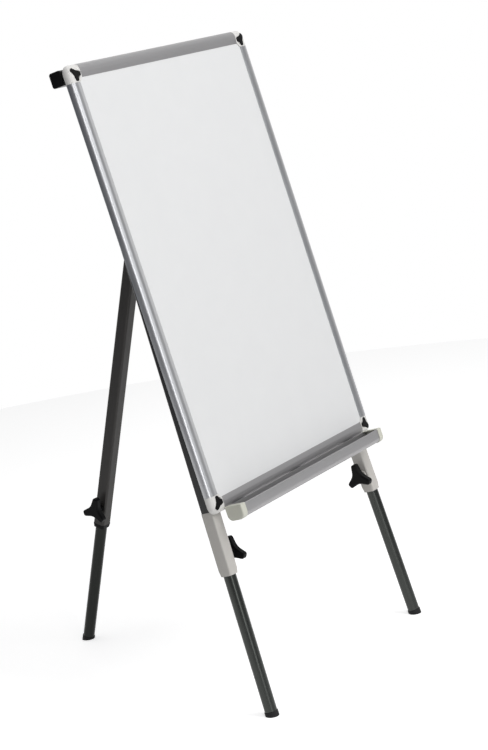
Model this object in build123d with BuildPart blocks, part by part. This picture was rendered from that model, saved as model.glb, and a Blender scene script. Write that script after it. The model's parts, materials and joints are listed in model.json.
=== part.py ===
from build123d import *

import os
from math import atan2, cos, degrees, radians, sin

os.makedirs("parts", exist_ok=True)

# A standing whiteboard easel: a framed board on two splayed front legs and one folding rear leg.
# Millimetres and degrees. The origin lies on the floor, on the easel's centre line, midway between
# the front feet and the rear foot. The board faces -Y and leans back, and +Z is up.

# Stance
board_tilt = 11.5
ledge_height = 410.0
feet_reach = 690.0
leg_splay = 2.3
leg_inset = 29.5

# Board panel and its frame
board_width = 600.0
board_height = 900.0
board_depth = 15.0
bar_width = 28.0
bar_edge = 2.4
bar_wall = 1.5
lip_width = 10.0
lip_drop = 1.8
panel_recess = 2.5
panel_grip = 10.0
face_thickness = 0.5
back_thickness = 0.3
panel_play = 0.1
cap_size = 36.0
cap_round = 18.0
tongue_length = 24.0
tongue_play = 0.2

# Three-armed corner inserts
insert_centre = 20.0
insert_arm = 14.0
insert_corner_arm = 14.5
insert_root = 14.0
insert_tip = 8.0
insert_tip_round = 3.0
insert_waist_round = 6.0
insert_seat_depth = 1.4
insert_proud = 0.8
insert_play = 0.1

# Crossbar behind the top of the board
crossbar_height = 30.0
crossbar_depth = 28.0
crossbar_top_inset = 4.0
crossbar_gap = 5.0
spacer_radius = 8.0
crossbar_cap_thickness = 4.0
crossbar_cap_plug = 15.0

# Square upper tubes, round lower tubes, and what joins them
tube_size = 28.0
tube_wall = 1.2
tube_round = 5.0
slide_play = 0.08
lower_wall = 1.2
lower_length = 800.0
sleeve_top = 5.0
sleeve_bottom = 124.0
sleeve_round = 3.0
sleeve_end_size = 27.0
sleeve_end_round = 6.0
sleeve_end_length = 12.0
finger_length = 30.0
finger_play = 0.1
plug_length = 16.0
plug_head = 3.0

# Feet
foot_radius = 13.9
foot_height = 9.0
foot_sole = 5.0
foot_edge = 0.8

# Clamping knobs
knob_rise = 40.0
knob_reach = 30.0
knob_root = 24.0
knob_tip = 12.0
knob_tip_round = 5.0
knob_waist_round = 24.0
knob_thickness = 13.0
knob_edge = 2.5
hub_radius = 8.5
hub_length = 8.0
boss_radius = 9.0
boss_height = 2.5
boss_edge = 0.8
knob_gap = 1.5
stud_radius = 4.0
stud_play = 0.05
stud_tip_gap = 0.3
stud_grip = 14.0

# Rear leg and its hinge
fold_gap = 7.5
hinge_drop = 14.0
hinge_stop_gap = 0.3
cheek_gap = 0.5
cheek_thickness = 2.5
cheek_radius = 10.0
bracket_flange = 15.0
pin_radius = 4.0
pin_play = 0.05
pin_head_radius = 6.5
pin_head_length = 5.0
hinge_plug_length = 40.0
rear_reach = 296.0
collar_length = 9.0

# Pen tray
tray_inset = 30.0
tray_gap = 1.5
tray_top = 7.0
tray_reach = 42.0
tray_drop = 23.0
tray_front_round = 3.0
tray_floor_round = 12.0
tray_wall = 1.8
tray_hook_height = 12.0
tray_hook_length = 40.0
tray_hook_inset = 90.0
tray_cap_length = 15.0
tray_cap_wall = 1.0
tray_cap_end = 3.0
tray_cap_round = 2.5

# Brackets and screws behind the board
bracket_leg = 20.0
bracket_thickness = 2.0
screw_radius = 2.0
screw_head_radius = 4.0
screw_head_height = 2.4
crossbar_screw_inset = 90.0

# Directions of the leaning board, and the point where its front face ends at the bottom
tilt = radians(board_tilt)
across = Vector(1, 0, 0)
board_up = Vector(0, sin(tilt), cos(tilt))
board_out = Vector(0, -cos(tilt), sin(tilt))
leg_depth = board_depth + crossbar_gap + tube_size / 2
foot_drop = (leg_depth * sin(tilt) - ledge_height) / cos(tilt)
ledge_y = -feet_reach / 2 - foot_drop * sin(tilt) - leg_depth * cos(tilt)
ledge = Vector(0, ledge_y, ledge_height)


def at(side, up, out):
    """A point given across the board, up its face and out from its front."""
    return ledge + across * side + board_up * up + board_out * out


def profile_plane(side, up, out):
    """Section through what runs across the board: local x is up, local y is out."""
    return Plane(origin=at(side, up, out), x_dir=board_up, z_dir=across)


def finish(piece, label):
    """Label a finished piece and write it to its file."""
    piece.label = label
    export_step(piece, "parts/" + label + ".step")


def screw(seat, length, label_parts):
    """Round-headed screw whose head stands on a seat plane and whose shank runs below it."""
    with BuildPart(seat) as one_screw:
        Cylinder(screw_head_radius, screw_head_height, align=(Align.CENTER, Align.CENTER, Align.MIN))
        chamfer(one_screw.faces().sort_by(Axis(seat.origin, seat.z_dir))[-1].edges(), screw_head_height / 2)
        Cylinder(screw_radius, length, align=(Align.CENTER, Align.CENTER, Align.MAX))
    label_parts.append(one_screw.part)


# Corners of the board: local x runs along the next bar, local y along the last one, z out
half_width = board_width / 2
corners = {
    "bottom_left": Plane(origin=at(-half_width, 0, 0), x_dir=across, z_dir=board_out),
    "bottom_right": Plane(origin=at(half_width, 0, 0), x_dir=board_up, z_dir=board_out),
    "top_right": Plane(origin=at(half_width, board_height, 0), x_dir=-across, z_dir=board_out),
    "top_left": Plane(origin=at(-half_width, board_height, 0), x_dir=-board_up, z_dir=board_out),
}
bar_round = board_depth - bar_edge
groove_floor = bar_width - panel_grip
groove_depth = board_depth - panel_recess - bar_wall
chamber_width = groove_floor - 2 * bar_wall
chamber_depth = board_depth - 2 * bar_wall


def chamber_outline(play):
    """Section of the bars' hollow, local x in from the outer side and local y out, less the play."""
    with BuildSketch() as outline:
        with Locations((bar_wall + play, play + bar_wall - board_depth)):
            Rectangle(chamber_width - 2 * play, chamber_depth - 2 * play, align=Align.MIN)
        fillet(outline.vertices().sort_by_distance((0, 0))[0], bar_round - bar_wall - play)
    return outline.sketch


# Extruded frame bars, one profile all round: a wide round outside, sloping lip, groove for the panel
def frame_bar(corner, length, label):
    section = Plane(origin=corner.origin + corner.x_dir * cap_size, x_dir=corner.y_dir, z_dir=corner.x_dir)
    with BuildPart() as bar:
        with BuildSketch(section) as profile:
            with BuildLine():
                Polyline(
                    (0, -board_depth),
                    (0, 0),
                    (bar_width - lip_width, 0),
                    (bar_width, -lip_drop),
                    (bar_width, -board_depth),
                    close=True,
                )
            make_face()
            fillet(profile.vertices().sort_by_distance((0, 0))[0], bar_round)
            add(chamber_outline(0), mode=Mode.SUBTRACT)
            with Locations((groove_floor, -panel_recess)):
                Rectangle(panel_grip, groove_depth, align=(Align.MIN, Align.MAX), mode=Mode.SUBTRACT)
        extrude(amount=length)
    finish(bar.part, label)


frame_bar(corners["bottom_left"], board_width - 2 * cap_size, "frame_bar_bottom")
frame_bar(corners["bottom_right"], board_height - 2 * cap_size, "frame_bar_right")
frame_bar(corners["top_right"], board_width - 2 * cap_size, "frame_bar_top")
frame_bar(corners["top_left"], board_height - 2 * cap_size, "frame_bar_left")


def tapered_arm(root, tip, reach, turn):
    """Flat arm from the middle out, narrower toward its tip, turned from the local x direction."""
    side_angle = degrees(atan2(reach, (root - tip) / 2))
    Trapezoid(root, reach, side_angle, align=(Align.CENTER, Align.MIN), rotation=turn - 90)


# Flat outline of a corner insert, drawn about the meeting point of its arms
def insert_outline(grow):
    with BuildSketch() as outline:
        for turn, reach in ((0, insert_arm), (90, insert_arm), (225, insert_corner_arm)):
            tapered_arm(insert_root, insert_tip, reach, turn)
        fillet(outline.vertices().sort_by_distance((0, 0))[:3], insert_waist_round)
        fillet(outline.vertices().sort_by_distance((0, 0))[-6:], insert_tip_round)
        if grow > 0:
            offset(amount=grow)
    return outline.sketch


# Moulded corner caps with tongues in the bars, a pocket for the panel's corner and one for the insert
def rounded_corner(corner, grow):
    """Solid corner of the frame with its wide outer round, its whole skin moved out by the grow value."""
    with BuildPart() as block:
        with BuildSketch(corner.offset(grow)) as outline:
            with BuildLine():
                Polyline(
                    (-grow, -grow),
                    (cap_size, -grow),
                    (cap_size, bar_width),
                    (bar_width, cap_size),
                    (-grow, cap_size),
                    close=True,
                )
            make_face()
            fillet(outline.vertices().sort_by_distance((0, 0))[0], cap_round + grow)
        extrude(amount=-board_depth - grow)
        front_face = block.faces().sort_by(Axis(corner.origin, board_out))[-1]
        fillet(front_face.edges().sort_by_distance(corner.origin)[:3], bar_round + grow)
    return block.part


def insert_block(corner, play):
    """Upright block with the insert's outline, standing on the curved floor of its pocket."""
    floor = rounded_corner(corner, -insert_seat_depth)
    with BuildPart() as block:
        with BuildSketch(corner.offset(insert_proud)):
            with Locations((insert_centre, insert_centre)):
                add(insert_outline(play))
        extrude(amount=-board_depth / 2)
        add(floor, mode=Mode.SUBTRACT)
    return block.part


def corner_cap(corner, label):
    along_bar = Plane(origin=corner.origin + corner.x_dir * cap_size, x_dir=corner.y_dir, z_dir=corner.x_dir)
    along_last = Plane(origin=corner.origin + corner.y_dir * cap_size, x_dir=corner.x_dir, z_dir=-corner.y_dir)
    body = rounded_corner(corner, 0)
    insert_pocket = insert_block(corner, insert_play)
    with BuildPart() as cap:
        add(body)
        add(insert_pocket, mode=Mode.SUBTRACT)
        with BuildSketch(corner.offset(-panel_recess)):
            with Locations((groove_floor, groove_floor)):
                Rectangle(cap_size, cap_size, align=Align.MIN)
        extrude(amount=-groove_depth, mode=Mode.SUBTRACT)
        with BuildSketch(along_bar):
            add(chamber_outline(tongue_play))
        extrude(amount=tongue_length)
        with BuildSketch(along_last):
            add(chamber_outline(tongue_play))
        extrude(amount=-tongue_length)
    finish(cap.part, "corner_cap_" + label)


# Black three-armed inserts, pressed into the caps. They follow the caps' round, a little proud of it
def corner_insert(corner, label):
    block = insert_block(corner, 0)
    skin = rounded_corner(corner, insert_proud)
    with BuildPart() as insert:
        add(block)
        add(skin, mode=Mode.INTERSECT)
    finish(insert.part, "corner_insert_" + label)


for corner_name, corner_plane in corners.items():
    corner_cap(corner_plane, corner_name)
    corner_insert(corner_plane, corner_name)


# Board panel: enamelled steel face, light core, thin steel back, all held in the bars' groove
panel_width = board_width - 2 * groove_floor - 2 * panel_play
panel_height = board_height - 2 * groove_floor - 2 * panel_play


def panel_layer(depth, thickness, label):
    middle = Plane(origin=at(0, board_height / 2, -depth), x_dir=across, z_dir=board_out)
    with BuildPart() as layer:
        with BuildSketch(middle):
            Rectangle(panel_width, panel_height)
        extrude(amount=-thickness)
    finish(layer.part, label)


face_depth = panel_recess + panel_play
core_depth = face_depth + face_thickness
core_thickness = groove_depth - 2 * panel_play - face_thickness - back_thickness
panel_layer(face_depth, face_thickness, "board_face")
panel_layer(core_depth, core_thickness, "board_core")
panel_layer(core_depth + core_thickness, back_thickness, "board_back")


# Pen tray: a trough under the board's front, closed by two moulded caps, hooked behind the bottom bar
def tray_outline(inset):
    """Outer section of the tray, local x up and local y out, made smaller all round by the inset."""
    with BuildSketch() as outline:
        with Locations((-tray_drop, tray_gap)):
            Rectangle(tray_drop + tray_top, tray_reach - tray_gap, align=Align.MIN)
        fillet(outline.vertices().sort_by_distance((tray_top, tray_reach))[0], tray_front_round)
        fillet(outline.vertices().sort_by(Axis.X)[:2], tray_floor_round)
        if inset > 0:
            offset(amount=-inset, kind=Kind.INTERSECTION)
    return outline.sketch


tray_length = board_width - 2 * tray_inset
trough_back = tray_gap + tray_cap_wall + tray_wall
trough_front = tray_reach - tray_cap_wall - tray_wall
trough_top = tray_top - tray_cap_wall - tray_wall - tray_front_round
tray_profile_length = tray_length - 2 * tray_cap_end
hook_spacing = board_width / 2 - tray_hook_inset
hook_back = board_depth + tray_wall
with BuildPart() as tray_profile:
    with BuildSketch(profile_plane(-tray_profile_length / 2, 0, 0)):
        add(tray_outline(tray_cap_wall))
        add(tray_outline(tray_cap_wall + tray_wall), mode=Mode.SUBTRACT)
        with Locations((trough_top, trough_back)):
            Rectangle(2 * tray_top, trough_front - trough_back, align=Align.MIN, mode=Mode.SUBTRACT)
    extrude(amount=tray_profile_length)
    for hook_place in (-hook_spacing, 0, hook_spacing):
        with BuildSketch(profile_plane(hook_place, 0, 0)):
            with Locations((0, trough_back)):
                Rectangle(tray_wall, trough_back + hook_back, align=Align.MAX)
            with Locations((0, -board_depth)):
                Rectangle(tray_hook_height, tray_wall, align=(Align.MIN, Align.MAX))
        extrude(amount=tray_hook_length / 2, both=True)
    with BuildSketch(Plane(origin=at(0, tray_hook_height / 2, -hook_back), x_dir=across, z_dir=-board_out)):
        with GridLocations(hook_spacing, 1, 3, 1):
            Circle(screw_radius)
    extrude(amount=-tray_wall, mode=Mode.SUBTRACT)
finish(tray_profile.part, "tray_profile")


def tray_cap(side, label):
    inner_end = profile_plane(side * (tray_length / 2 - tray_cap_length), 0, 0)
    with BuildPart() as cap:
        with BuildSketch(inner_end):
            add(tray_outline(0))
        extrude(amount=side * tray_cap_length)
        end_face = cap.faces().sort_by(Axis.X)[-1 if side > 0 else 0]
        fillet(end_face.edges(), tray_cap_round)
        with BuildSketch(inner_end):
            add(tray_outline(tray_cap_wall))
        extrude(amount=side * (tray_cap_length - tray_cap_end), mode=Mode.SUBTRACT)
    finish(cap.part, label)


tray_cap(-1, "tray_cap_left")
tray_cap(1, "tray_cap_right")

tray_screw_parts = []
for place in (-hook_spacing, 0, hook_spacing):
    seat = Plane(origin=at(place, tray_hook_height / 2, -hook_back), x_dir=across, z_dir=-board_out)
    screw(seat, tray_wall, tray_screw_parts)
finish(Compound(children=tray_screw_parts), "tray_screws")


# Crossbar: a rectangular tube behind the frame's top bar, with a black cap in each end
crossbar_up = board_height - crossbar_top_inset - crossbar_height / 2
crossbar_under = crossbar_up - crossbar_height / 2
crossbar_length = board_width - 2 * crossbar_cap_thickness
crossbar_front = board_depth + crossbar_gap
crossbar_back = crossbar_front + crossbar_depth
crossbar_middle = (crossbar_front + crossbar_back) / 2
crossbar_screw_spacing = board_width - 2 * crossbar_screw_inset
with BuildPart() as crossbar:
    with BuildSketch(profile_plane(-crossbar_length / 2, crossbar_up, -crossbar_middle)):
        RectangleRounded(crossbar_height, crossbar_depth, tube_round)
        RectangleRounded(
            crossbar_height - 2 * tube_wall,
            crossbar_depth - 2 * tube_wall,
            tube_round - tube_wall,
            mode=Mode.SUBTRACT,
        )
    extrude(amount=crossbar_length)
    with BuildSketch(Plane(origin=at(0, crossbar_up, -crossbar_back), x_dir=across, z_dir=-board_out)):
        with GridLocations(crossbar_screw_spacing, 1, 2, 1):
            Circle(screw_radius)
    extrude(amount=-crossbar_depth, mode=Mode.SUBTRACT)
finish(crossbar.part, "crossbar")


def crossbar_cap(side, label):
    tube_end = profile_plane(side * crossbar_length / 2, crossbar_up, -crossbar_middle)
    with BuildPart() as cap:
        with BuildSketch(tube_end):
            RectangleRounded(crossbar_height, crossbar_depth, tube_round)
        extrude(amount=side * crossbar_cap_thickness)
        end_face = cap.faces().sort_by(Axis.X)[-1 if side > 0 else 0]
        chamfer(end_face.edges(), tube_wall / 2)
        with BuildSketch(tube_end):
            RectangleRounded(
                crossbar_height - 2 * tube_wall - 2 * finger_play,
                crossbar_depth - 2 * tube_wall - 2 * finger_play,
                tube_round,
            )
            RectangleRounded(
                crossbar_height - 4 * tube_wall - 2 * finger_play,
                crossbar_depth - 4 * tube_wall - 2 * finger_play,
                tube_round / 2,
                mode=Mode.SUBTRACT,
            )
        extrude(amount=-side * crossbar_cap_plug)
    finish(cap.part, label)


crossbar_cap(-1, "crossbar_cap_left")
crossbar_cap(1, "crossbar_cap_right")

# Two screws run through the crossbar and a moulded spacer each to the back of the top bar
crossbar_screw_parts = []
for place in (-crossbar_screw_spacing / 2, crossbar_screw_spacing / 2):
    seat = Plane(origin=at(place, crossbar_up, -crossbar_back), x_dir=across, z_dir=-board_out)
    screw(seat, crossbar_depth + crossbar_gap, crossbar_screw_parts)
finish(Compound(children=crossbar_screw_parts), "crossbar_screws")

with BuildPart() as crossbar_spacers:
    with BuildSketch(Plane(origin=at(0, crossbar_up, -board_depth), x_dir=across, z_dir=-board_out)):
        with GridLocations(crossbar_screw_spacing, 1, 2, 1):
            Circle(spacer_radius)
            Circle(screw_radius, mode=Mode.SUBTRACT)
    extrude(amount=crossbar_gap)
finish(crossbar_spacers.part, "crossbar_spacers")


# Leg tubes. A leg's own plane has its axis as z, going up, and local y toward the back
splay = radians(leg_splay)
bore_radius = tube_size / 2 - tube_wall
lower_radius = bore_radius - slide_play
leg_rise = board_height / cos(splay)
leg_spacing = board_width - 2 * leg_inset


def front_leg(side, along):
    upward = board_up * cos(splay) - across * side * sin(splay)
    sideways = across * cos(splay) + board_up * side * sin(splay)
    foot_of_leg = at(side * leg_spacing / 2, 0, -leg_depth)
    return Plane(origin=foot_of_leg + upward * along, x_dir=sideways, z_dir=upward)


hinge_up = crossbar_under - cheek_thickness - hinge_drop
hinge_depth = board_depth + fold_gap + tube_size / 2
hinge_point = at(0, hinge_up, -hinge_depth)
rear_lean = atan2(feet_reach / 2 - hinge_point.Y, hinge_point.Z)
fold_angle = radians(board_tilt) + rear_lean
rear_length = hinge_point.Z / cos(rear_lean)
rear_up = Vector(0, -sin(rear_lean), cos(rear_lean))


def rear_leg(along):
    """The rear leg's plane, measured up its axis from the hinge."""
    return Plane(origin=hinge_point + rear_up * along, x_dir=across, z_dir=rear_up)


def square_tube():
    RectangleRounded(tube_size, tube_size, tube_round)
    RectangleRounded(
        tube_size - 2 * tube_wall,
        tube_size - 2 * tube_wall,
        tube_round - tube_wall,
        mode=Mode.SUBTRACT,
    )


def stud_plane(leg, rise, side):
    """Plane of a clamping stud on a leg's axis, with x up the leg and z out of the given side."""
    return Plane(origin=leg.origin + leg.z_dir * rise, x_dir=leg.z_dir, z_dir=leg.x_dir * side)


# Front upper tubes, mitred under the crossbar
def upper_tube(side, label):
    with BuildPart() as tube:
        with BuildSketch(front_leg(side, sleeve_top)):
            square_tube()
        extrude(amount=leg_rise)
        split(bisect_by=Plane(origin=at(0, crossbar_under, 0), z_dir=board_up), keep=Keep.BOTTOM)
    finish(tube.part, label)


upper_tube(-1, "upper_tube_left")
upper_tube(1, "upper_tube_right")


# Moulded clamping sleeves: four fingers in the square tube's corners, a tapered end, a stud boss
def clamp_fingers(leg, length):
    with BuildSketch(leg) as inside:
        RectangleRounded(
            2 * bore_radius - 2 * finger_play,
            2 * bore_radius - 2 * finger_play,
            tube_round - tube_wall,
        )
    extrude(inside.sketch, amount=length)


def tapered_end(leg, length):
    with BuildSketch(leg) as wide_end:
        RectangleRounded(tube_size, tube_size, sleeve_round)
    with BuildSketch(leg.offset(-length)) as narrow_end:
        RectangleRounded(sleeve_end_size, sleeve_end_size, sleeve_end_round)
    loft([wide_end.sketch, narrow_end.sketch])


def tube_bore(leg, start, length):
    with BuildSketch(leg.offset(start)) as bore:
        Circle(bore_radius)
    extrude(bore.sketch, amount=length, mode=Mode.SUBTRACT)


def sleeve(side, label):
    top = front_leg(side, sleeve_top)
    end_top = front_leg(side, sleeve_end_length - sleeve_bottom)
    stud = stud_plane(front_leg(side, -sleeve_bottom), knob_rise, -side)
    with BuildPart() as body:
        with BuildSketch(top):
            RectangleRounded(tube_size, tube_size, sleeve_round)
        extrude(amount=sleeve_end_length - sleeve_bottom - sleeve_top)
        tapered_end(end_top, sleeve_end_length)
        with BuildSketch(stud):
            Circle(boss_radius)
        extrude(amount=tube_size / 2 + boss_height)
        boss_face = body.faces().filter_by(GeomType.PLANE).sort_by(Axis(stud.origin, stud.z_dir))[-1]
        chamfer(boss_face.edges(), boss_edge)
        clamp_fingers(top, finger_length)
        tube_bore(front_leg(side, -sleeve_bottom), 0, sleeve_bottom + sleeve_top + finger_length)
        with BuildSketch(stud):
            Circle(stud_radius + stud_play)
        extrude(amount=tube_size, mode=Mode.SUBTRACT)
    finish(body.part, label)


sleeve(-1, "sleeve_left")
sleeve(1, "sleeve_right")


# Steel angle brackets between the upper tubes and the back of the frame's bottom bar
bracket_screw_parts = []


def board_bracket(side, label):
    foot_of_bracket = front_leg(side, bar_width / 2 + sleeve_top / 2)
    inner_face = foot_of_bracket.origin - foot_of_bracket.x_dir * side * tube_size / 2
    section = Plane(
        origin=inner_face + board_out * (tube_size / 2 + crossbar_gap),
        x_dir=-foot_of_bracket.x_dir * side,
        z_dir=foot_of_bracket.z_dir * -side,
    )
    flange_middle = section.origin + section.x_dir * bracket_leg / 2 - board_out * bracket_thickness
    seat = Plane(origin=flange_middle, x_dir=section.x_dir, z_dir=-board_out)
    with BuildPart() as bracket:
        with BuildSketch(section):
            Rectangle(bracket_leg, bracket_thickness, align=Align.MIN)
            Rectangle(bracket_thickness, bracket_leg + crossbar_gap, align=Align.MIN)
        extrude(amount=bracket_leg / 2, both=True)
        with BuildSketch(seat):
            Circle(screw_radius)
        extrude(amount=-bracket_thickness, mode=Mode.SUBTRACT)
    finish(bracket.part, label)
    screw(seat, bracket_thickness, bracket_screw_parts)


board_bracket(-1, "board_bracket_left")
board_bracket(1, "board_bracket_right")
finish(Compound(children=bracket_screw_parts), "bracket_screws")


# Hinge bracket: a flat plate under the crossbar with two cheeks that carry the rear leg's pin
cheek_inner = tube_size / 2 + cheek_gap
cheek_outer = cheek_inner + cheek_thickness
plate_half = cheek_outer + bracket_flange
flange_screw_place = cheek_outer + bracket_flange / 2
with BuildPart() as hinge_bracket:
    with BuildSketch(Plane(origin=at(0, crossbar_under, -crossbar_middle), x_dir=across, z_dir=-board_up)):
        RectangleRounded(2 * plate_half, crossbar_depth - tube_wall, tube_round)
        with GridLocations(2 * flange_screw_place, 1, 2, 1):
            Circle(screw_radius, mode=Mode.SUBTRACT)
    extrude(amount=cheek_thickness)
    for side in (-1, 1):
        with BuildSketch(profile_plane(side * cheek_inner, hinge_up, -hinge_depth)):
            Circle(cheek_radius)
            Rectangle(hinge_drop + cheek_thickness / 2, 2 * cheek_radius, align=(Align.MIN, Align.CENTER))
        extrude(amount=side * cheek_thickness)
    with BuildSketch(profile_plane(-cheek_outer, hinge_up, -hinge_depth)):
        Circle(pin_radius)
    extrude(amount=2 * cheek_outer, mode=Mode.SUBTRACT)
finish(hinge_bracket.part, "hinge_bracket")

hinge_screw_parts = []
for side in (-1, 1):
    plate_face = at(side * flange_screw_place, crossbar_under - cheek_thickness, -crossbar_middle)
    screw(Plane(origin=plate_face, x_dir=across, z_dir=-board_up), cheek_thickness, hinge_screw_parts)
finish(Compound(children=hinge_screw_parts), "hinge_screws")

# Hinge pin: a bolt across both cheeks with a domed head, and a locking nut on the other side
with BuildPart() as hinge_pin:
    with BuildSketch(profile_plane(-cheek_outer, hinge_up, -hinge_depth)):
        Circle(pin_radius)
    extrude(amount=2 * cheek_outer + pin_head_length)
    with BuildSketch(profile_plane(-cheek_outer, hinge_up, -hinge_depth)):
        Circle(pin_head_radius)
    extrude(amount=-pin_head_length)
    chamfer(hinge_pin.faces().sort_by(Axis.X)[0].edges(), pin_head_length / 3)
finish(hinge_pin.part, "hinge_pin")

with BuildPart() as hinge_nut:
    with BuildSketch(profile_plane(cheek_outer, hinge_up, -hinge_depth)):
        RegularPolygon(pin_head_radius, 6)
        Circle(pin_radius, mode=Mode.SUBTRACT)
    extrude(amount=pin_head_length)
finish(hinge_nut.part, "hinge_nut")


# Rear upper tube. Its top end has two flats that stop the fold and the opened leg, and an arc between
stop_reach = hinge_drop - hinge_stop_gap


def cut_hinge_end():
    slant_start = (stop_reach * sin(fold_angle), stop_reach * cos(fold_angle))
    slant_end = (
        slant_start[0] + tube_size * cos(fold_angle),
        slant_start[1] - tube_size * sin(fold_angle),
    )
    side_view = Plane(origin=hinge_point, x_dir=rear_leg(0).y_dir, z_dir=across)
    with BuildSketch(side_view) as waste:
        with BuildLine():
            RadiusArc((0, stop_reach), slant_start, stop_reach)
            Line(slant_start, slant_end)
            Line(slant_end, (slant_end[0], tube_size))
            Line((slant_end[0], tube_size), (-tube_size, tube_size))
            Line((-tube_size, tube_size), (-tube_size, stop_reach))
            Line((-tube_size, stop_reach), (0, stop_reach))
        make_face()
    extrude(waste.sketch, amount=tube_size, both=True, mode=Mode.SUBTRACT)


def cut_hinge_hole():
    with BuildSketch(profile_plane(-tube_size, hinge_up, -hinge_depth)) as hole:
        Circle(pin_radius + pin_play)
    extrude(hole.sketch, amount=2 * tube_size, mode=Mode.SUBTRACT)


rear_tube_length = rear_length - rear_reach
rear_stud = stud_plane(rear_leg(-rear_tube_length), knob_rise, -1)
with BuildPart() as rear_upper_tube:
    with BuildSketch(rear_leg(-rear_tube_length)):
        square_tube()
    extrude(amount=rear_tube_length + hinge_drop)
    cut_hinge_end()
    cut_hinge_hole()
    with BuildSketch(rear_stud):
        Circle(stud_radius + stud_play)
    extrude(amount=tube_size, mode=Mode.SUBTRACT)
finish(rear_upper_tube.part, "rear_upper_tube")

with BuildPart() as rear_top_plug:
    with BuildSketch(rear_leg(hinge_drop)):
        RectangleRounded(
            2 * bore_radius - 2 * finger_play,
            2 * bore_radius - 2 * finger_play,
            tube_round - tube_wall,
        )
    extrude(amount=-hinge_plug_length)
    cut_hinge_end()
    cut_hinge_hole()
finish(rear_top_plug.part, "rear_top_plug")

with BuildPart() as rear_collar:
    tapered_end(rear_leg(-rear_tube_length), collar_length)
    clamp_fingers(rear_leg(-rear_tube_length), finger_length)
    tube_bore(rear_leg(-rear_tube_length), -collar_length, collar_length + finger_length)
finish(rear_collar.part, "rear_collar")

with BuildPart() as rear_knob_boss:
    with BuildSketch(rear_stud.offset(tube_size / 2)):
        Circle(boss_radius)
        Circle(stud_radius + stud_play, mode=Mode.SUBTRACT)
    extrude(amount=boss_height)
    boss_face = rear_knob_boss.faces().sort_by(Axis.X)[0]
    chamfer(boss_face.edges().sort_by(SortBy.LENGTH)[-1], boss_edge)
finish(rear_knob_boss.part, "rear_knob_boss")


# Round lower tubes that slide in the legs, each with a top plug and a rubber foot cut by the floor
def lower_leg(foot_plane, label):
    tube_start = foot_plane.offset(foot_sole)
    tube_top = foot_plane.offset(foot_sole + lower_length)
    with BuildPart() as tube:
        with BuildSketch(tube_start):
            Circle(lower_radius)
            Circle(lower_radius - lower_wall, mode=Mode.SUBTRACT)
        extrude(amount=lower_length)
    finish(tube.part, label + "_lower_tube")

    with BuildPart() as plug:
        with BuildSketch(tube_top):
            Circle(lower_radius)
        extrude(amount=plug_head)
        with BuildSketch(tube_top):
            Circle(lower_radius - lower_wall)
            Circle(lower_radius - 2 * lower_wall, mode=Mode.SUBTRACT)
        extrude(amount=-plug_length)
    finish(plug.part, label + "_tube_plug")

    with BuildPart() as foot:
        with BuildSketch(foot_plane.offset(-foot_height)):
            Circle(foot_radius)
        extrude(amount=2 * foot_height)
        rim = foot.faces().sort_by(Axis(foot_plane.origin, foot_plane.z_dir))[-1]
        chamfer(rim.edges(), foot_edge)
        with BuildSketch(tube_start):
            Circle(lower_radius)
        extrude(amount=foot_height, mode=Mode.SUBTRACT)
        split(bisect_by=Plane.XY, keep=Keep.TOP)
    finish(foot.part, label + "_foot")


def foot_plane_on_floor(leg):
    """The point where a leg's axis meets the floor, with the leg's own directions."""
    fall = leg.origin.Z / leg.z_dir.Z
    return leg.offset(-fall)


lower_leg(foot_plane_on_floor(front_leg(-1, 0)), "left")
lower_leg(foot_plane_on_floor(front_leg(1, 0)), "right")
lower_leg(foot_plane_on_floor(rear_leg(0)), "rear")


# Three-lobed knobs on brass studs that press on the lower tubes through the legs' walls
def knob(stud, label):
    hub_start = stud.offset(tube_size / 2 + boss_height + knob_gap)
    star_start = hub_start.offset(hub_length)
    with BuildPart() as star:
        with BuildSketch(star_start) as outline:
            for turn in (0, 120, -120):
                tapered_arm(knob_root, knob_tip, knob_reach, turn)
            fillet(outline.vertices().sort_by_distance((0, 0))[:3], knob_waist_round)
            fillet(outline.vertices().sort_by_distance((0, 0))[-6:], knob_tip_round)
        extrude(amount=knob_thickness)
        top_face = star.faces().sort_by(Axis(stud.origin, stud.z_dir))[-1]
        chamfer(top_face.edges(), knob_edge)
        with BuildSketch(hub_start):
            Circle(hub_radius)
        extrude(amount=hub_length)
        with BuildSketch(hub_start):
            Circle(stud_radius)
        extrude(amount=stud_grip, mode=Mode.SUBTRACT)
    finish(star.part, label + "_knob")

    with BuildPart() as pin:
        with BuildSketch(stud.offset(lower_radius + stud_tip_gap)):
            Circle(stud_radius)
        extrude(amount=tube_size / 2 + boss_height + knob_gap + stud_grip - lower_radius - stud_tip_gap)
    finish(pin.part, label + "_knob_stud")


knob(stud_plane(front_leg(-1, -sleeve_bottom), knob_rise, 1), "left")
knob(stud_plane(front_leg(1, -sleeve_bottom), knob_rise, -1), "right")
knob(rear_stud, "rear")

print("rear leg leans", round(degrees(rear_lean), 3), "and folds by", round(degrees(fold_angle), 3))
print("hinge at", [round(value, 3) for value in hinge_point])
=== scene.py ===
import json
from math import cos, pi, radians, sin

import bmesh
import bpy
from mathutils import Matrix, Vector


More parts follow.
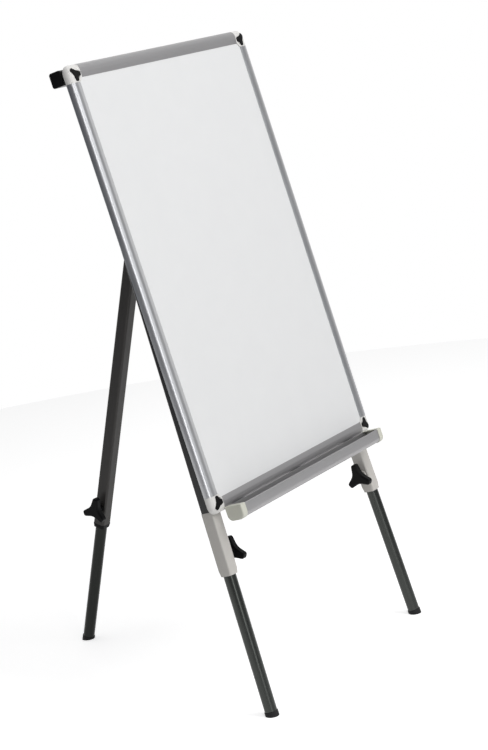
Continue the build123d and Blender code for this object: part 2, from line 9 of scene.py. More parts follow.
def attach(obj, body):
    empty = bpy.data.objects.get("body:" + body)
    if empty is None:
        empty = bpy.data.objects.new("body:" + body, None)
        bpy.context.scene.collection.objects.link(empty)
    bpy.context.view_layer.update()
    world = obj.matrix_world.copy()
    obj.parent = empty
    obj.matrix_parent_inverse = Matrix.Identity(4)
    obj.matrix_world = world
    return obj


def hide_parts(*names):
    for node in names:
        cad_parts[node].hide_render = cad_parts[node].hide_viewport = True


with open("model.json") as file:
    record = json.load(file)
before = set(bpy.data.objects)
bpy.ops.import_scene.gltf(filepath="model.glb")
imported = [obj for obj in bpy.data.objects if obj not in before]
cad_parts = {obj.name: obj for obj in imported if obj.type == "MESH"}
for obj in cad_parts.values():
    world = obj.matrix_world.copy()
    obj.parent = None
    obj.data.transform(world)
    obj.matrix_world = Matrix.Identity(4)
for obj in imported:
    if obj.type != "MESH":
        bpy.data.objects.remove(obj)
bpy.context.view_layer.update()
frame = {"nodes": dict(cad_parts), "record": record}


# The camera. The photograph was taken from the front left with a long lens, a little above the
# middle of the board, and it is turned by about nine degrees in its plane.
view_side = radians(-54.2)
view_rise = radians(11.7)
view_roll = radians(-8.9)
view_distance = 4.0923
view_target = Vector((0.0384, -0.16945, 0.6016))

toward_camera = Vector((sin(view_side) * cos(view_rise), -cos(view_side) * cos(view_rise), sin(view_rise)))
level_right = Vector((0, 0, 1)).cross(toward_camera).normalized()
level_up = toward_camera.cross(level_right)
picture_right = level_right * cos(view_roll) + level_up * sin(view_roll)
picture_up = level_up * cos(view_roll) - level_right * sin(view_roll)

camera_data = bpy.data.cameras.new("photo_camera")
camera_data.sensor_width = 36
camera_data.lens = 94.96
camera_data.clip_end = 50
camera = bpy.data.objects.new("photo_camera", camera_data)
bpy.context.scene.collection.objects.link(camera)
turn = Matrix((picture_right, picture_up, toward_camera)).transposed().to_4x4()
camera.matrix_world = Matrix.Translation(view_target + toward_camera * view_distance) @ turn
bpy.context.scene.camera = camera
bpy.context.scene.view_settings.view_transform = "Standard"


# The studio. A white floor in a dim room with a white sweep behind the easel. A large softbox hangs
# high in front, a wide one stands below it, a tall one stands to the left, and one hangs above.
def add(tree, kind, inputs=None, **settings):
    node = tree.nodes.new(kind)
    for name, value in settings.items():
        setattr(node, name, value)
    for socket, value in (inputs or {}).items():
        if isinstance(value, bpy.types.NodeSocket):
            tree.links.new(value, node.inputs[socket])
        else:
            node.inputs[socket].default_value = value
    return node


def new_material(name):
    material = bpy.data.materials.new(name)
    material.use_nodes = True
    tree = material.node_tree
    tree.nodes.clear()
    return material, tree


def link_object(name, mesh):
    piece = bpy.data.objects.new(name, mesh)
    bpy.context.scene.collection.objects.link(piece)
    return piece


def seen_directly(tree, ray):
    """1 for rays that look straight at, or mirror or look through to, the background."""
    straight = {0: ray["Is Camera Ray"], 1: ray["Is Glossy Ray"]}
    both = add(tree, "ShaderNodeMath", straight, operation="MAXIMUM")
    through = {0: both.outputs[0], 1: ray["Is Transmission Ray"]}
    return add(tree, "ShaderNodeMath", through, operation="MAXIMUM").outputs[0]


floor_radius = 3.0
floor_glow = 0.62
room_light = 0.22

floor_mesh = bpy.data.meshes.new("floor")
shape = bmesh.new()
bmesh.ops.create_circle(shape, cap_ends=True, segments=96, radius=floor_radius)
shape.to_mesh(floor_mesh)
shape.free()
floor = link_object("floor", floor_mesh)

floor_material, tree = new_material("studio_floor")
speck = add(tree, "ShaderNodeTexNoise", {"Scale": 3.0, "Detail": 3.0})
tone = add(tree, "ShaderNodeValToRGB", {"Fac": speck.outputs["Fac"]})
tone.color_ramp.elements[0].color = (0.84, 0.84, 0.84, 1)
tone.color_ramp.elements[1].color = (0.88, 0.88, 0.88, 1)
paper = add(tree, "ShaderNodeBsdfDiffuse", {"Color": tone.outputs["Color"]})
glow = add(tree, "ShaderNodeEmission", {"Color": (1, 1, 1, 1), "Strength": floor_glow})
ray = add(tree, "ShaderNodeLightPath").outputs
seen = add(tree, "ShaderNodeMixShader", {0: seen_directly(tree, ray), 2: glow.outputs[0]})
bright_floor = add(tree, "ShaderNodeAddShader", {0: paper.outputs[0], 1: seen.outputs[0]})
add(tree, "ShaderNodeOutputMaterial", {"Surface": bright_floor.outputs[0]})
floor_mesh.materials.append(floor_material)

world = bpy.data.worlds.new("studio")
bpy.context.scene.world = world
world.use_nodes = True
tree = world.node_tree
tree.nodes.clear()
ray = add(tree, "ShaderNodeLightPath").outputs
look = add(tree, "ShaderNodeTexCoord").outputs["Generated"]
sweep_direction = (0.81, 0.59, 0.0)
toward_sweep = add(tree, "ShaderNodeVectorMath", {0: look, 1: sweep_direction}, operation="DOT_PRODUCT")
whole_turn = {"Value": toward_sweep.outputs["Value"], "From Min": -1.0, "From Max": 1.0}
round_room = add(tree, "ShaderNodeMapRange", whole_turn)

# The walls' tones, from the one behind the camera (0) round to the white sweep behind the easel (1)
walls = add(tree, "ShaderNodeValToRGB", {"Fac": round_room.outputs[0]})
wall_tones = walls.color_ramp.elements
wall_tones[0].position = 0.0
wall_tones[0].color = (0.22, 0.22, 0.23, 1)
wall_tones[1].position = 0.80
wall_tones[1].color = (1, 1, 1, 1)
wall_tones.new(0.34).color = (0.10, 0.11, 0.13, 1)
wall_tones.new(0.52).color = (0.32, 0.32, 0.33, 1)
wall_tones.new(0.66).color = (0.46, 0.46, 0.46, 1)
wall_tones.new(0.71).color = (0.85, 0.85, 0.85, 1)
for_camera = {"Factor": ray["Is Camera Ray"], 6: walls.outputs["Color"], 7: (1, 1, 1, 1)}
background = add(tree, "ShaderNodeMix", for_camera, data_type="RGBA")
white = add(tree, "ShaderNodeBackground", {"Color": background.outputs[2], "Strength": 1.0})
room = add(tree, "ShaderNodeBackground", {"Color": (0.99, 0.99, 1.0, 1), "Strength": room_light})
sky_parts = {0: seen_directly(tree, ray), 1: room.outputs[0], 2: white.outputs[0]}
sky = add(tree, "ShaderNodeMixShader", sky_parts)
add(tree, "ShaderNodeOutputWorld", {"Surface": sky.outputs[0]})


def soft_lamp(name, place, target, width, height, power):
    lamp = bpy.data.lights.new(name, "AREA")
    lamp.shape = "RECTANGLE"
    lamp.size = width
    lamp.size_y = height
    lamp.energy = power
    holder = bpy.data.objects.new(name, lamp)
    bpy.context.scene.collection.objects.link(holder)
    holder.location = place
    holder.rotation_euler = (Vector(target) - Vector(place)).to_track_quat("-Z", "Y").to_euler()
    holder.visible_camera = False


soft_lamp("key_lamp", (0.3, -2.6, 3.2), (0, -0.2, 0.8), 2.0, 2.0, 50)
soft_lamp("wide_lamp", (0.35, -3.3, 1.5), (0, -0.2, 0.8), 2.2, 2.0, 15)
soft_lamp("tall_lamp", (-1.7, -2.95, 1.35), (0, -0.2, 1.1), 1.1, 2.6, 25)
soft_lamp("top_lamp", (0.2, 0.4, 3.4), (0, 0, 0.6), 2.4, 2.4, 20)


# The board panel. Its writing face is steel sheet with a smooth white enamel, glued to a soft
# wood-fibre core with a thin zinc-plated steel sheet behind, and all three sit in the bars' groove.
board_tilt = radians(11.5)
across = Vector((1, 0, 0))
board_up = Vector((0, sin(board_tilt), cos(board_tilt)))
board_out = Vector((0, -cos(board_tilt), sin(board_tilt)))


def group(name, sockets):
    tree = bpy.data.node_groups.new(name, "ShaderNodeTree")
    for kind, direction, label, default in sockets:
        socket = tree.interface.new_socket(label, in_out=direction, socket_type=kind)
        if default is not None:
            socket.default_value = default
    return tree


def use_group(tree, source, inputs):
    node = tree.nodes.new("ShaderNodeGroup")
    node.node_tree = source
    for socket, value in inputs.items():
        node.inputs[socket].default_value = value
    return node


def mix_colours(tree, factor, first, second):
    mixer = tree.nodes.new("ShaderNodeMix")
    mixer.data_type = "RGBA"
    tree.links.new(factor, mixer.inputs["Factor"])
    for socket, value in ((6, first), (7, second)):
        if isinstance(value, bpy.types.NodeSocket):
            tree.links.new(value, mixer.inputs[socket])
        else:
            mixer.inputs[socket].default_value = (*value, 1)
    return mixer.outputs[2]


def spread(tree, value, low, high, from_low=0.3, from_high=0.7):
    """A noise value spread over a range, such as a roughness from its lowest to its highest."""
    ranges = {"Value": value, "From Min": from_low, "From Max": from_high, "To Min": low, "To Max": high}
    return add(tree, "ShaderNodeMapRange", ranges).outputs[0]


def noise(tree, place, scale, detail, roughness):
    settings = {"Vector": place, "Scale": scale, "Detail": detail, "Roughness": roughness}
    return add(tree, "ShaderNodeTexNoise", settings).outputs["Fac"]


def vector_math(tree, operation, inputs):
    return add(tree, "ShaderNodeVectorMath", inputs, operation=operation)


# The depth in metres of every bump, and how much slower drawn lines change along than across
bump_depth = 0.0002
line_squeeze = 0.006

# Fine lines that run along a drawn or rolled metal's length, over slow clouds of handling
drawn_lines = group("drawn_lines", [
    ("NodeSocketVector", "INPUT", "Direction", (1, 0, 0)),
    ("NodeSocketFloat", "INPUT", "Lines per metre", 2500.0),
    ("NodeSocketFloat", "INPUT", "Bump", 0.1),
    ("NodeSocketFloat", "OUTPUT", "Lines", None),
    ("NodeSocketFloat", "OUTPUT", "Cloud", None),
    ("NodeSocketVector", "OUTPUT", "Normal", None),
])
given = add(drawn_lines, "NodeGroupInput").outputs
spot = add(drawn_lines, "ShaderNodeTexCoord").outputs["Object"]
run = vector_math(drawn_lines, "DOT_PRODUCT", {0: spot, 1: given["Direction"]}).outputs["Value"]
along = vector_math(drawn_lines, "SCALE", {0: given["Direction"], "Scale": run}).outputs[0]
beside = vector_math(drawn_lines, "SUBTRACT", {0: spot, 1: along}).outputs[0]
slow_run = vector_math(drawn_lines, "SCALE", {0: along, "Scale": line_squeeze}).outputs[0]
squeezed = vector_math(drawn_lines, "ADD", {0: beside, 1: slow_run}).outputs[0]
lines = noise(drawn_lines, squeezed, given["Lines per metre"], 3.0, 0.6)
grooves = {"Height": lines, "Strength": given["Bump"], "Distance": bump_depth}
bump = add(drawn_lines, "ShaderNodeBump", grooves)
drawn_results = {"Lines": lines, "Cloud": noise(drawn_lines, spot, 14.0, 4.0, 0.6), "Normal": bump.outputs[0]}
add(drawn_lines, "NodeGroupOutput", drawn_results)

# The skin of a moulded or enamelled piece: fine grain over slow unevenness
moulded_skin = group("moulded_skin", [
    ("NodeSocketFloat", "INPUT", "Grain per metre", 1600.0),
    ("NodeSocketFloat", "INPUT", "Bump", 0.15),
    ("NodeSocketFloat", "OUTPUT", "Cloud", None),
    ("NodeSocketVector", "OUTPUT", "Normal", None),
])
given = add(moulded_skin, "NodeGroupInput").outputs
spot = add(moulded_skin, "ShaderNodeTexCoord").outputs["Object"]
grain = noise(moulded_skin, spot, given["Grain per metre"], 2.0, 0.55)
pits = {"Height": grain, "Strength": given["Bump"], "Distance": bump_depth}
bump = add(moulded_skin, "ShaderNodeBump", pits)
skin_results = {"Cloud": noise(moulded_skin, spot, 22.0, 3.0, 0.55), "Normal": bump.outputs[0]}
add(moulded_skin, "NodeGroupOutput", skin_results)

# Edges rubbed by handling, strongest where the wear's own noise is high
rubbed_edges = group("rubbed_edges", [
    ("NodeSocketFloat", "INPUT", "Width", 0.001),
    ("NodeSocketFloat", "INPUT", "Amount", 0.5),
    ("NodeSocketFloat", "OUTPUT", "Mask", None),
])
given = add(rubbed_edges, "NodeGroupInput").outputs
spot = add(rubbed_edges, "ShaderNodeTexCoord").outputs["Object"]
soft_normal = add(rubbed_edges, "ShaderNodeBevel", {"Radius": given["Width"]}, samples=4)
hard_normal = add(rubbed_edges, "ShaderNodeNewGeometry").outputs["Normal"]
agreement = vector_math(rubbed_edges, "DOT_PRODUCT", {0: soft_normal.outputs[0], 1: hard_normal})
edge = spread(rubbed_edges, agreement.outputs["Value"], 0.0, 1.0, 0.995, 0.85)
spots = spread(rubbed_edges, noise(rubbed_edges, spot, 90.0, 4.0, 0.7), 0.0, 1.0, 0.35, 0.7)
worn = add(rubbed_edges, "ShaderNodeMath", {0: edge, 1: spots}, operation="MULTIPLY")
amount = add(rubbed_edges, "ShaderNodeMath", {0: worn.outputs[0], 1: given["Amount"]}, operation="MULTIPLY")
add(rubbed_edges, "NodeGroupOutput", {"Mask": amount.outputs[0]})


def metal(name, direction, dark, light, worn, rough, lines=2500.0, bump=0.1, metallic=1.0, coat=0.0):
    """Drawn metal of two tones with rubbed edges, and a roughness between two values."""
    material, tree = new_material(name)
    grain = use_group(tree, drawn_lines, {"Direction": direction, "Lines per metre": lines, "Bump": bump})
    edges = use_group(tree, rubbed_edges, {"Width": 0.0008, "Amount": 0.5})
    base = mix_colours(tree, grain.outputs["Lines"], dark, light)
    both = {0: grain.outputs["Cloud"], 1: grain.outputs["Lines"]}
    mixed = add(tree, "ShaderNodeMath", both, operation="ADD")
    shader = add(tree, "ShaderNodeBsdfPrincipled", {
        "Base Color": mix_colours(tree, edges.outputs["Mask"], base, worn),
        "Roughness": spread(tree, mixed.outputs[0], rough[0], rough[1], 0.6, 1.4),
        "Metallic": metallic,
        "Coat Weight": coat,
        "Coat Roughness": 0.15,
        "Normal": grain.outputs["Normal"],
    })
    add(tree, "ShaderNodeOutputMaterial", {"Surface": shader.outputs[0]})
    return material


def plastic(name, low, high, rubbed, rough, bump=0.12, grain_size=1600.0, specular=0.5):
    """Moulded plastic or rubber of two tones with rubbed edges, and a roughness between two values."""
    material, tree = new_material(name)
    skin = use_group(tree, moulded_skin, {"Grain per metre": grain_size, "Bump": bump})
    edges = use_group(tree, rubbed_edges, {"Width": 0.0007, "Amount": 0.35})
    base = mix_colours(tree, skin.outputs["Cloud"], low, high)
    shader = add(tree, "ShaderNodeBsdfPrincipled", {
        "Base Color": mix_colours(tree, edges.outputs["Mask"], base, rubbed),
        "Roughness": spread(tree, skin.outputs["Cloud"], rough[0], rough[1]),
        "Specular IOR Level": specular,
        "Normal": skin.outputs["Normal"],
    })
    add(tree, "ShaderNodeOutputMaterial", {"Surface": shader.outputs[0]})
    return material


def dress(material, node):
    mesh = frame["nodes"][node].data
    mesh.materials.clear()
    mesh.materials.append(material)


enamel, tree = new_material("white_enamel")
skin = use_group(tree, moulded_skin, {"Grain per metre": 260.0, "Bump": 0.03})
wipes = noise(tree, add(tree, "ShaderNodeTexCoord").outputs["Object"], 14.0, 4.0, 0.6)
shader = add(tree, "ShaderNodeBsdfPrincipled", {
    "Base Color": mix_colours(tree, skin.outputs["Cloud"], (0.790, 0.795, 0.800), (0.815, 0.820, 0.822)),
    "Roughness": spread(tree, wipes, 0.30, 0.36),
    "Specular IOR Level": 0.4,
    "Normal": skin.outputs["Normal"],
})
add(tree, "ShaderNodeOutputMaterial", {"Surface": shader.outputs[0]})
dress(enamel, "board_face")
fibre = plastic(
    "wood_fibre", (0.42, 0.29, 0.16), (0.60, 0.45, 0.28), (0.68, 0.55, 0.38), (0.85, 0.97),
    bump=0.6, grain_size=500.0)
dress(fibre, "board_core")
zinc = metal("zinc_steel", across, (0.50, 0.51, 0.52), (0.66, 0.67, 0.69), (0.75, 0.75, 0.76), (0.28, 0.42))
dress(zinc, "board_back")


# The frame bars. Extruded aluminium, satin anodised, with the die's lines along their length, a wide
# round outside and a sloping lip toward the panel. The corner caps' tongues hold their ends.
# One aluminium in two copies. The bars across and the tray get a darker, duller copy as painted shade, and
# the upright bars get a lighter copy as painted light, for how the lamps reflect along and across the die's
# lines.
anodised_shaded_across = metal(
    "anodised_shaded_across", across, (0.33, 0.325, 0.33), (0.41, 0.405, 0.41), (0.58, 0.58, 0.58), (0.40, 0.52),
    lines=3200.0, bump=0.12, metallic=0.75)
anodised_lit_up = metal(
    "anodised_lit_up", board_up, (0.46, 0.465, 0.475), (0.56, 0.565, 0.575), (0.70, 0.70, 0.71), (0.26, 0.38),
    lines=3200.0, bump=0.12)


def at(side, up, out):
    """A point in metres, given in millimetres across the board, up its face and out from its front."""
    return ledge + (across * side + board_up * up + board_out * out) / 1000


# Sizes of the board in millimetres, with the height of its front face's lower edge above the floor.
# The front feet stand on the line of the legs' axes, a little behind that face.
half_width = 300
board_height = 900
edge_height = 410
feet_forward = 345
leg_depth = 34
foot_drop = (leg_depth * sin(board_tilt) - edge_height) / cos(board_tilt)
ledge_forward = feet_forward + foot_drop * sin(board_tilt) + leg_depth * cos(board_tilt)
ledge = Vector((0, -ledge_forward, edge_height)) / 1000

body_of = {node: body for body, nodes in frame["record"]["behaviour"]["bodies"].items() for node in nodes}


def stand_in(piece, node, material):
    """Put a detailed piece in a node's place: its body and its material."""
    piece.data.materials.append(material)
    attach(piece, body_of[node])
    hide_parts(node)


def mesh_piece(name, shape, sharp=35):
    """Turn a finished shape into an object, smooth but for edges sharper than an angle in degrees."""
    bmesh.ops.recalc_face_normals(shape, faces=shape.faces)
    for face in shape.faces:
        face.smooth = True
    mesh = bpy.data.meshes.new(name)
    shape.to_mesh(mesh)
    shape.free()
    mesh.set_sharp_from_angle(angle=radians(sharp))
    return link_object(name, mesh)


# The bar's section, in from its outer side and out from its front: the round, the sloping lip with its
# soft edges, the panel's groove and the back. Then the section of the hollow behind the round.
bar_depth = 15
bar_face = 28
round_radius = 12.6
bar_wall = 1.5
groove_floor = 18
cap_reach = 36


def bar_round(radius, step):
    angles = [radians(degree) for degree in range(0, 91, step)]
    return [(round_radius - radius * cos(a), radius * sin(a) - round_radius) for a in angles]


bar_section = [(0.3, -bar_depth), (0, 0.3 - bar_depth), *bar_round(round_radius, 5)]
bar_section += [(17.6, 0), (18.0, -0.02), (18.4, -0.09), (27.6, -1.73), (27.9, -1.85), (bar_face, -2.1)]
bar_section += [(bar_face, -2.5), (groove_floor, -2.5)]
bar_section += [(groove_floor, bar_wall - bar_depth), (bar_face, bar_wall - bar_depth)]
bar_section += [(bar_face, 0.3 - bar_depth), (bar_face - 0.3, -bar_depth)]
hollow_side = groove_floor - bar_wall
hollow_section = [(bar_wall, bar_wall - bar_depth), *bar_round(round_radius - bar_wall, 10)]
hollow_section += [(hollow_side, -bar_wall), (hollow_side, bar_wall - bar_depth)]


def frame_bar(name, corner, run, inward, length, material):
    """One bar between two corners' caps: its section, inward and out, drawn along its run."""
    shape = bmesh.new()
    rims = ([], [])
    for section in (bar_section, hollow_section):
        ends = []
        for rim, rise in zip(rims, (cap_reach, length - cap_reach)):
            places = [corner + (inward * a + board_out * b + run * rise) / 1000 for a, b in section]
            ends.append([shape.verts.new(place) for place in places])
            rim.extend(shape.edges.new((ends[-1][i - 1], ends[-1][i])) for i in range(len(section)))
        for i in range(len(section)):
            shape.faces.new((ends[0][i - 1], ends[0][i], ends[1][i], ends[1][i - 1]))
    for rim in rims:
        bmesh.ops.triangle_fill(shape, edges=rim, use_beauty=True)
    stand_in(mesh_piece(name + "_drawn", shape, 20), name, material)


lower_left = at(-half_width, 0, 0)
lower_right = at(half_width, 0, 0)
upper_right = at(half_width, board_height, 0)
upper_left = at(-half_width, board_height, 0)
board_width = 2 * half_width
frame_bar("frame_bar_bottom", lower_left, across, board_up, board_width, anodised_shaded_across)
frame_bar("frame_bar_right", lower_right, board_up, -across, board_height, anodised_lit_up)
frame_bar("frame_bar_top", upper_right, -across, -board_up, board_width, anodised_shaded_across)
frame_bar("frame_bar_left", upper_left, -board_up, across, board_height, anodised_lit_up)


# The corner caps. White mouldings pushed into the bars' ends by their tongues, with the wide outer
# round of the bars carried round the corner and every edge broken by the mould.
def soften(node, material, width):
    """A node's own shape with its sharp edges rounded by a width given in millimetres."""
    source = frame["nodes"][node].data
    shape = bmesh.new()
    points = [shape.verts.new(vertex.co) for vertex in source.vertices]
    for polygon in source.polygons:
        shape.faces.new([points[index] for index in polygon.vertices])
    bmesh.ops.remove_doubles(shape, verts=shape.verts, dist=1e-5)
    bmesh.ops.dissolve_limit(shape, angle_limit=radians(1), verts=shape.verts, edges=shape.edges)
    for face in shape.faces:
        face.smooth = True
    mesh = bpy.data.meshes.new(node + "_softened")
    shape.to_mesh(mesh)
    shape.free()
    piece = link_object(node + "_softened", mesh)
    rounding = piece.modifiers.new("rounded_edges", "BEVEL")
    rounding.width = width / 1000
    rounding.segments = 3
    rounding.limit_method = "ANGLE"
    rounding.angle_limit = radians(28)
    rounding.use_clamp_overlap = False
    rounding.harden_normals = True
    stand_in(piece, node, material)


white_plastic = plastic(
    "white_plastic", (0.72, 0.71, 0.69), (0.78, 0.77, 0.75), (0.84, 0.84, 0.82), (0.30, 0.45))
corner_names = ("top_left", "top_right", "bottom_left", "bottom_right")
for corner in corner_names:
    soften("corner_cap_" + corner, white_plastic, 0.35)


# The corner inserts. Three-armed black mouldings pressed into a pocket of each cap, a little proud of
# its curved skin, with rounded tips and edges.
black_plastic = plastic(
    "black_plastic", (0.004, 0.004, 0.0045), (0.008, 0.008, 0.0085), (0.03, 0.03, 0.03), (0.40, 0.55),
    specular=0.10)
for corner in corner_names:
    soften("corner_insert_" + corner, black_plastic, 0.35)


# The pen tray. An extruded aluminium trough under the board's front edge with three hooks that grip the
# bottom bar's back, a screw through each hook, and two beige moulded caps pushed over its ends.
screw_offset = 210
tray_screw_rise = 6
tray_screw_depth = 16.8


def stand(origin, axis):
    """The frame of a turned piece that stands at a point with its own z along an axis."""
    return Matrix.Translation(origin) @ axis.to_track_quat("Z", "Y").to_matrix().to_4x4()


def turned(shape, profile, segments=48):
    """A turned form from pairs of radius and height in millimetres, closed where a radius is 0."""
    rings = []
    for radius, height in profile:
        if radius == 0:
            rings.append([shape.verts.new((0, 0, height / 1000))])
            continue
        ring = []
        for step in range(segments):
            angle = 2 * pi * step / segments
            ring.append(shape.verts.new(Vector((radius * cos(angle), radius * sin(angle), height)) / 1000))
        rings.append(ring)
    for first, second in zip(rings, rings[1:]):
        for step in range(segments):
            corners = (
                first[step % len(first)],
                first[(step + 1) % len(first)],
                second[(step + 1) % len(second)],
                second[step % len(second)],
            )
            shape.faces.new(list(dict.fromkeys(corners)))


def cut_away(piece, cutter):
    """Cut one piece's shape out of another for good, and remove the cutter."""
    cut = piece.modifiers.new("cut", "BOOLEAN")
    cut.operation = "DIFFERENCE"
    cut.solver = "EXACT"
    cut.object = cutter
    bpy.context.view_layer.update()
    finished = bpy.data.meshes.new_from_object(piece.evaluated_get(bpy.context.evaluated_depsgraph_get()))
    piece.modifiers.clear()
    piece.data = finished
    bpy.data.objects.remove(cutter)


# One screw head with its cross recess, made once and repeated for every screw of the easel. The
# recess is cut by two blades that stand across each other and narrow downward.
head_radius = 4.0
head_height = 2.4
head_rim = 0.5
blade_size = (0.0044, 0.0009, 0.0030)
blade_narrowing = 0.45

shape = bmesh.new()
dome_height = head_height - head_rim
dome_angles = [radians(degree) for degree in range(0, 90, 10)]
head_dome = [(head_radius * cos(a), head_rim + dome_height * sin(a)) for a in dome_angles]
head_foot = [(0, 0), (head_radius - 0.1, 0), (head_radius, 0.15)]
turned(shape, [*head_foot, *head_dome, (0, head_height)], 40)
screw_head = mesh_piece("screw_head_pattern", shape)
for blade_turn in (0, 90):
    shape = bmesh.new()
    bmesh.ops.create_cube(shape, size=1)
    bmesh.ops.scale(shape, vec=blade_size, verts=shape.verts)
    for corner in shape.verts:
        if corner.co.z < 0:
            corner.co.x *= blade_narrowing
    bmesh.ops.translate(shape, vec=(0, 0, head_height / 1000), verts=shape.verts)
    quarter = Matrix.Rotation(radians(blade_turn), 3, "Z")
    bmesh.ops.rotate(shape, cent=(0, 0, 0), matrix=quarter, verts=shape.verts)
    cut_away(screw_head, mesh_piece("recess_blade", shape))
screw_head_mesh = screw_head.data
bpy.data.objects.remove(screw_head)

# The screws' threads, in millimetres: radii over the crests and roots, pitch and the tip's chamfer
shank_crest = 1.9
shank_root = 1.65
shank_pitch = 0.8
shank_tip = 0.4


def screws(node, seats, axis, length, material):
    """Cross-recessed round-head screws whose heads stand on their seats and face along an axis."""
    shape = bmesh.new()
    for index, seat in enumerate(seats):
        frame_of_screw = stand(seat, axis) @ Matrix.Rotation(radians(25 + 40 * index), 4, "Z")
        before = set(shape.verts)
        shape.from_mesh(screw_head_mesh)
        rise = shank_tip - length
        shank = [(0, -length), (shank_crest - shank_tip, -length), (shank_crest, rise)]
        while rise + shank_pitch < -0.2:
            shank += [(shank_root, rise + shank_pitch / 2), (shank_crest, rise + shank_pitch)]
            rise += shank_pitch
        turned(shape, [*shank, (shank_crest, 0.05), (0, 0.05)], 24)
        added = [corner for corner in shape.verts if corner not in before]
        bmesh.ops.transform(shape, matrix=frame_of_screw, verts=added)
    stand_in(mesh_piece(node + "_made", shape), node, material)


soften("tray_profile", anodised_shaded_across, 0.25)
beige_plastic = plastic(
    "beige_plastic", (0.60, 0.60, 0.52), (0.67, 0.67, 0.59), (0.76, 0.76, 0.70), (0.32, 0.46))
soften("tray_cap_left", beige_plastic, 0.4)
soften("tray_cap_right", beige_plastic, 0.4)
tray_seats = [at(place, tray_screw_rise, -tray_screw_depth) for place in (-screw_offset, 0, screw_offset)]
screws("tray_screws", tray_seats, -board_out, 1.8, zinc)


# The crossbar. A rectangular steel tube lacquered dark behind the frame's top bar, closed by two black
# moulded caps and held by two long screws that run through it and a black spacer each.
def dark_lacquer(name, direction):
    return metal(
        "dark_lacquer_" + name, direction, (0.026, 0.026, 0.027), (0.044, 0.044, 0.045), (0.12, 0.12, 0.12),
        (0.28, 0.42), metallic=0.5, coat=0.15)


crossbar_screw_rise = 881
crossbar_back = 48
dark_across = dark_lacquer("across", across)
dress(dark_across, "crossbar")
soften("crossbar_cap_left", black_plastic, 0.3)
soften("crossbar_cap_right", black_plastic, 0.3)
soften("crossbar_spacers", black_plastic, 0.4)
crossbar_seats = [at(place, crossbar_screw_rise, -crossbar_back) for place in (-screw_offset, screw_offset)]
screws("crossbar_screws", crossbar_seats, -board_out, 33, zinc)


# The front upper tubes. Square steel tubes lacquered dark, splayed a little, with their mitred tops
# under the crossbar and a screwed steel angle bracket each at the frame's bottom bar.
leg_splay = radians(2.3)
leg_up = {side: board_up * cos(leg_splay) - across * side * sin(leg_splay) for side in (-1, 1)}
leg_side = {side: across * cos(leg_splay) + board_up * side * sin(leg_splay) for side in (-1, 1)}
side_names = {-1: "left", 1: "right"}
for side, name in side_names.items():
    dress(dark_lacquer(name, leg_up[side]), "upper_tube_" + name)
    soften("board_bracket_" + name, dark_across, 0.4)

# Each bracket's screw stands on its flange, at three distances in metres from the leg's lowest point on
# the axis: up along the leg, toward the other leg, and forward to the board
seat_rise = 0.0165
seat_inward = 0.024
seat_forward = 0.017
leg_offset = 270.5
leg_base = {side: at(side * leg_offset, 0, -leg_depth) for side in (-1, 1)}
bracket_seats = []
for side in (-1, 1):
    seat = leg_base[side] + leg_up[side] * seat_rise
    seat += board_out * seat_forward - leg_side[side] * side * seat_inward
    bracket_seats.append(seat)
screws("bracket_screws", bracket_seats, -board_out, 2, zinc)


# The sleeves. Beige mouldings with four fingers up inside the square tubes, a tapered lower end, and a
# boss on the side toward the other leg for the clamping stud.
sleeve_plastic = plastic(
    "sleeve_plastic", (0.545, 0.525, 0.495), (0.605, 0.585, 0.555), (0.72, 0.70, 0.67), (0.32, 0.46))
soften("sleeve_left", sleeve_plastic, 0.4)
soften("sleeve_right", sleeve_plastic, 0.4)


# The hinge. A pressed steel bracket under the middle of the crossbar, held by two screws, with a bolt
# through its two cheeks that the rear leg turns on and a lock nut on the bolt's end.
pivot_rise = 849.5
pivot_depth = 36.5
cheek_outside = 17
hinge_screw_offset = 24.5
hinge_plate_bottom = 863.5
soften("hinge_bracket", dark_across, 0.35)
hinge_seats = [
    at(place, hinge_plate_bottom, -leg_depth) for place in (-hinge_screw_offset, hinge_screw_offset)]
screws("hinge_screws", hinge_seats, -board_up, 2.5, zinc)

# The bolt's length runs from under its head: both cheeks, and the thread that stands out past them
bolt_radius = 4.0
bolt_head = 6.5
head_depth = 5.0
dome_rise = 3.4
bolt_grip = 2 * cheek_outside
bolt_length = bolt_grip + 5.0
shape = bmesh.new()
dome_angles = [radians(degree) for degree in range(80, -1, -10)]
bolt_dome = [(bolt_head * cos(a), dome_rise - head_depth - dome_rise * sin(a)) for a in dome_angles]
bolt_thread = [(bolt_radius - 0.3 * (step % 2), bolt_grip + step * 0.5) for step in range(10)]
bolt_neck = [(bolt_head, -0.3), (bolt_head - 0.3, 0), (bolt_radius, 0)]
bolt_end = [(bolt_radius - 0.6, bolt_length), (0, bolt_length)]
turned(shape, [(0, -head_depth), *bolt_dome, *bolt_neck, *bolt_thread, *bolt_end])
bolt_seat = at(-cheek_outside, pivot_rise, -pivot_depth)
bmesh.ops.transform(shape, matrix=stand(bolt_seat, across), verts=shape.verts)
stand_in(mesh_piece("hinge_bolt", shape), "hinge_pin", zinc)
soften("hinge_nut", zinc, 0.4)


# The rear leg. A square tube lacquered dark, hung on the hinge bolt, with a moulded plug in its top, and
# a black collar with fingers up inside it at its lower end, where the stud's boss stands on its side.
rear_lean = radians(19.449)
rear_up = Vector((0, -sin(rear_lean), cos(rear_lean)))
dark_rear = metal(
    "dark_lacquer_rear", rear_up, (0.030, 0.028, 0.026), (0.046, 0.043, 0.041), (0.10, 0.10, 0.10),
    (0.42, 0.55), metallic=0.35)
dress(dark_rear, "rear_upper_tube")
dress(black_plastic, "rear_top_plug")
soften("rear_collar", black_plastic, 0.35)
soften("rear_knob_boss", black_plastic, 0.3)


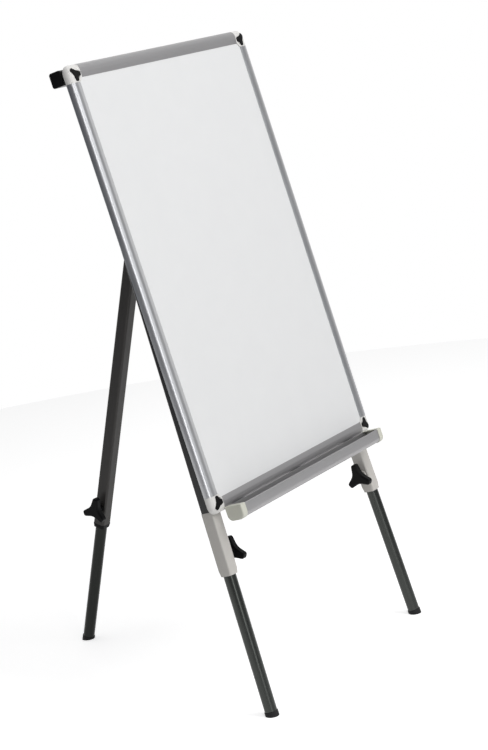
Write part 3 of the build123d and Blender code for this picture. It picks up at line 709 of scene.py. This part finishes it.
# The lower tubes. Round steel tubes in dark chrome that slide in the sleeves and the collar, each with
# a moulded plug in its top end.
leg_axes = {"left": leg_up[-1], "right": leg_up[1], "rear": rear_up}
for leg, axis in leg_axes.items():
    # The rear tube's copy of the dark chrome is darkened to less than half: painted shade on the rear leg
    # behind the board.
    painted_shade = 0.45 if leg == "rear" else 1.0
    low = [value * painted_shade for value in (0.042, 0.045, 0.042)]
    high = [value * painted_shade for value in (0.070, 0.074, 0.070)]
    dark_chrome = metal("dark_chrome_" + leg, axis, low, high, (0.28, 0.28, 0.28), (0.20, 0.30))
    dress(dark_chrome, leg + "_lower_tube")
    soften(leg + "_tube_plug", black_plastic, 0.4)


# The feet. Black rubber cups pushed over the lower tubes' ends, with three shallow grooves round them,
# cut flat where they stand on the floor.
rubber = plastic(
    "rubber", (0.010, 0.010, 0.011), (0.022, 0.022, 0.023), (0.07, 0.07, 0.07), (0.6, 0.85),
    bump=0.3, grain_size=900.0, specular=0.3)
foot_radius = 13.9
foot_bore = 12.74
foot_height = 9.0
foot_sole = 5.02
groove_depth = 0.3
foot_spread = 287.027
soles = {
    "left": Vector((-foot_spread, -feet_forward, 0)) / 1000,
    "right": Vector((foot_spread, -feet_forward, 0)) / 1000,
    "rear": Vector((0, feet_forward, 0)) / 1000,
}

# The cup's section starts below the floor, where the tilted cup is cut off level
foot_profile = [(0, -8), (foot_radius, -8)]
groove_radius = foot_radius - groove_depth
for groove in (1.6, 3.9, 6.2):
    foot_profile += [(foot_radius, groove), (groove_radius, groove + 0.2)]
    foot_profile += [(groove_radius, groove + 0.7), (foot_radius, groove + 0.9)]
foot_profile += [(foot_radius, foot_height - 0.5), (foot_radius - 0.15, foot_height - 0.15)]
foot_profile += [(foot_radius - 0.5, foot_height), (foot_bore + 0.16, foot_height)]
foot_profile += [(foot_bore, foot_height - 0.2), (foot_bore, foot_sole), (0, foot_sole)]
floor_cut = {"plane_co": (0, 0, 0), "plane_no": (0, 0, 1), "clear_inner": True}
for leg, axis in leg_axes.items():
    shape = bmesh.new()
    turned(shape, foot_profile, 64)
    bmesh.ops.transform(shape, matrix=stand(soles[leg], axis), verts=shape.verts)
    everything = shape.verts[:] + shape.edges[:] + shape.faces[:]
    cut = bmesh.ops.bisect_plane(shape, geom=everything, **floor_cut)
    rim = [part for part in cut["geom_cut"] if isinstance(part, bmesh.types.BMEdge)]
    bmesh.ops.edgeloop_fill(shape, edges=rim)
    stand_in(mesh_piece(leg + "_rubber_foot", shape), leg + "_foot", rubber)


# The clamping knobs. Black three-lobed mouldings with soft edges on threaded brass studs that run
# through the boss and press on the lower tube.
knob_plastic = plastic(
    "knob_plastic", (0.003, 0.003, 0.0035), (0.006, 0.006, 0.0065), (0.03, 0.03, 0.03), (0.38, 0.52),
    specular=0.10, grain_size=1300.0)
for leg in leg_axes:
    soften(leg + "_knob", knob_plastic, 0.9)

brass = metal("brass", across, (0.55, 0.38, 0.13), (0.70, 0.52, 0.22), (0.80, 0.66, 0.38), (0.25, 0.40))

# Each stud starts from its leg's axis, a drop in metres below the leg's base or the hinge. The front
# legs' studs point toward the other leg and the rear leg's stud points left. One thread turn is 1 mm.
front_stud_drop = 0.084
rear_stud_drop = 0.97391
hinge_point = at(0, pivot_rise, -pivot_depth)
stud_starts = {
    "left": (leg_base[-1] - leg_up[-1] * front_stud_drop, leg_side[-1]),
    "right": (leg_base[1] - leg_up[1] * front_stud_drop, -leg_side[1]),
    "rear": (hinge_point - rear_up * rear_stud_drop, -across),
}
stud_tip = 13.02
stud_end = 32.0
stud_crest = 4.0
stud_root = 3.5
tip_radius = 3.3
thread_start = 13.8
thread_turns = 18
stud_profile = [(0, stud_tip), (tip_radius, stud_tip), (tip_radius, thread_start - 0.4)]
for ring in range(thread_turns):
    stud_profile += [(stud_crest, thread_start + ring), (stud_root, thread_start + ring + 0.5)]
stud_profile += [(stud_root, stud_end), (0, stud_end)]
for leg, (leg_middle, stud_axis) in stud_starts.items():
    shape = bmesh.new()
    turned(shape, stud_profile, 32)
    bmesh.ops.transform(shape, matrix=stand(leg_middle, stud_axis), verts=shape.verts)
    stand_in(mesh_piece(leg + "_threaded_stud", shape), leg + "_knob_stud", brass)
